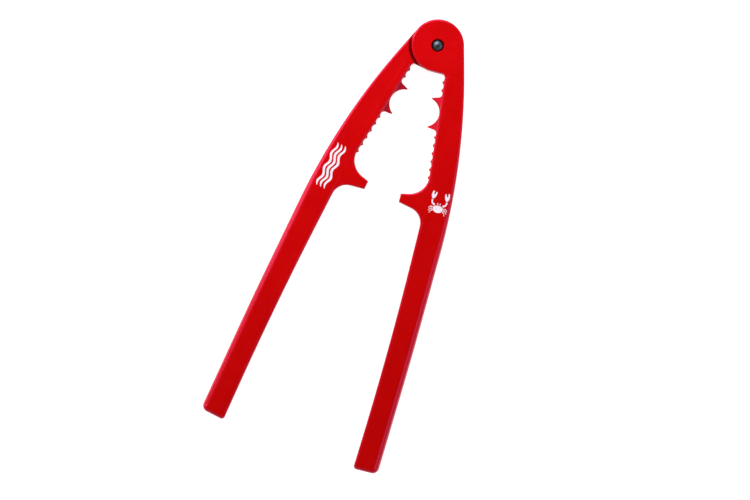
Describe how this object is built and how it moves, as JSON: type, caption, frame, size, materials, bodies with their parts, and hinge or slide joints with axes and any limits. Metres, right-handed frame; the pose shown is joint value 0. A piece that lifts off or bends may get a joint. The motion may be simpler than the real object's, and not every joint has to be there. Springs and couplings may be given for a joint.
{
  "type": "lobster cracker",
  "caption": "Lobster cracker: a fork arm and a tongue arm on a sunk rivet, with spiked and toothed jaws, stop lugs and long straight legs.",
  "frame": {"origin": "centre of the footprint on the surface that the tool lies on, back face down", "axes": "+Y from the leg ends to the hinge, +Z from the back face to the front face, +X towards the fork arm"},
  "size_m": [0.0778, 0.188, 0.014],
  "materials": {
    "red_paint": "semi-gloss powder coat, red",
    "dark_steel": "dark polished steel",
    "nylon": "natural nylon",
    "print": "white printed ink"
  },
  "bodies": {
    "fork_side": {"fork_arm": "red_paint", "pivot_rivet": "dark_steel", "front_washer": "nylon", "back_washer": "nylon"},
    "tongue_side": {"tongue_arm": "red_paint"}
  },
  "joints": [
    {"name": "arm_hinge", "type": "hinge", "parent": "fork_side", "child": "tongue_side", "pos_m": [0, 0.08295, 0.007], "axis": [0, 0, -1], "range_deg": [-12.76, 185]}
  ]
}
